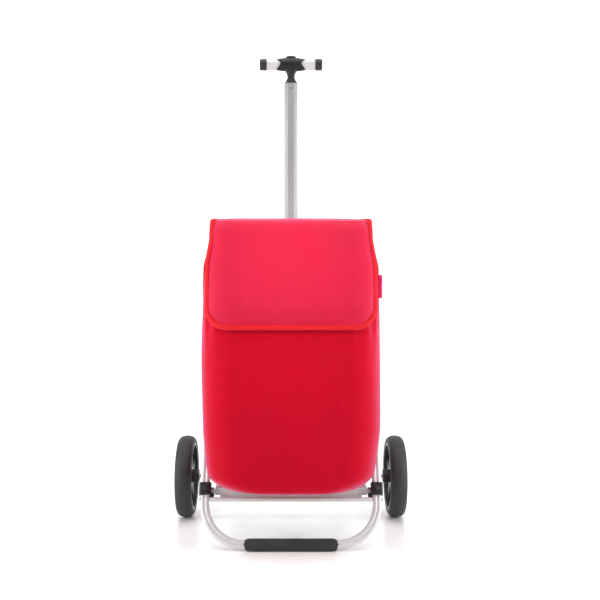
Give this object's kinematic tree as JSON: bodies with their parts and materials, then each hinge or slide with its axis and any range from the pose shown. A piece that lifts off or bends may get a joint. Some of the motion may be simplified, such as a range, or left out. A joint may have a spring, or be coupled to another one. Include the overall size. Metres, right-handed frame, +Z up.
{
  "type": "shopping trolley",
  "caption": "Two-wheeled shopping trolley with a soft lidded bag on a folding tube frame, a telescopic pole and a T-handle.",
  "frame": {"origin": "on the floor, in the middle of the overall width and depth", "axes": "+Z up, +X to the right of someone facing the bag, +Y towards the wheels and the pole"},
  "size_m": [0.449, 0.38, 0.9206],
  "materials": {
    "tyre": "matt moulded rubber",
    "rim_plastic": "satin moulded plastic",
    "bearing_plastic": "plain moulded nylon",
    "steel": "zinc-plated",
    "black_steel": "blackened",
    "frame_aluminium": "satin anodised",
    "pole_aluminium": "fine-drawn, anodised",
    "black_plastic": "lightly textured",
    "foam": "closed-cell foam",
    "red_fabric": "woven polyester",
    "red_binding": "ribbed binding tape",
    "label_fabric": "folded tape, blank",
    "board": "plain sheet"
  },
  "bodies": {
    "chassis": {"outer_tube": "pole_aluminium", "tube_collar": "black_plastic", "axle_block": "black_plastic", "axle_tube": "frame_aluminium", "axle": "steel", "axle_washers": "steel", "axle_nuts": "steel", "yoke": "black_plastic", "yoke_cap": "black_plastic", "yoke_screws": "steel", "bag_body": "red_fabric", "side_label": "label_fabric", "bag_hooks": "black_plastic"},
    "stand": {"ring_frame": "frame_aluminium", "tube_joiner": "frame_aluminium", "foam_grip": "foam", "hinge_barrel": "bearing_plastic", "bracket_left": "black_plastic", "bracket_right": "black_plastic", "bracket_screws": "black_steel", "cross_rod": "frame_aluminium", "rod_rivets": "steel"},
    "shelf": {"shelf_plate": "frame_aluminium", "shelf_rail_left": "frame_aluminium", "shelf_rail_right": "frame_aluminium", "shelf_front_rail": "frame_aluminium", "shelf_pins": "steel", "base_board": "board"},
    "handle": {"inner_tube": "pole_aluminium", "guide_plug": "bearing_plastic", "handle_core": "black_plastic", "grip_sleeve_left": "pole_aluminium", "grip_sleeve_right": "pole_aluminium", "end_cap_left": "black_plastic", "end_cap_right": "black_plastic", "handle_screw": "steel", "button_spring": "steel"},
    "button": {"release_button": "black_plastic", "release_rod": "steel"},
    "lock": {"lock_pin": "steel"},
    "flap": {"flap_panel": "red_fabric", "flap_binding": "red_binding"},
    "wheel_left": {"tyre_left": "tyre", "rim_left": "rim_plastic", "wheel_bush_left": "bearing_plastic", "hub_cap_left": "rim_plastic"},
    "wheel_right": {"tyre_right": "tyre", "rim_right": "rim_plastic", "wheel_bush_right": "bearing_plastic", "hub_cap_right": "rim_plastic"}
  },
  "joints": [
    {"name": "stand_fold", "type": "hinge", "parent": "chassis", "child": "stand", "pos_m": [0, 0.084, 0.54], "axis": [1, 0, 0], "range_deg": [0, 15], "deforming": ["bag_body"]},
    {"name": "shelf_fold", "type": "hinge", "parent": "chassis", "child": "shelf", "pos_m": [0, 0.11, 0.08], "axis": [-1, 0, 0], "range_deg": [0, 60]},
    {"name": "handle_slide", "type": "slide", "parent": "chassis", "child": "handle", "axis": [0, 0, 1], "range_m": [-0.25, 0]},
    {"name": "button_press", "type": "slide", "parent": "handle", "child": "button", "axis": [0, 0, 1], "range_m": [-0.004, 0], "stiffness_N_per_m": 400, "springref_m": 0.002, "deforming": ["button_spring"]},
    {"name": "lock_slide", "type": "slide", "parent": "handle", "child": "lock", "axis": [0, 1, 0], "range_m": [-0.004, 0]},
    {"name": "flap_open", "type": "hinge", "parent": "chassis", "child": "flap", "pos_m": [0, 0.048, 0.583], "axis": [-1, 0, 0], "range_deg": [0, 95]},
    {"name": "wheel_spin_left", "type": "hinge", "parent": "chassis", "child": "wheel_left", "pos_m": [-0.208, 0.11, 0.08], "axis": [1, 0, 0], "continuous": true},
    {"name": "wheel_spin_right", "type": "hinge", "parent": "chassis", "child": "wheel_right", "pos_m": [0.208, 0.11, 0.08], "axis": [1, 0, 0], "continuous": true}
  ],
  "couplings": [
    {"joint": "shelf_fold", "follows": "stand_fold", "ratio": 4},
    {"joint": "lock_slide", "follows": "button_press", "ratio": 1}
  ]
}
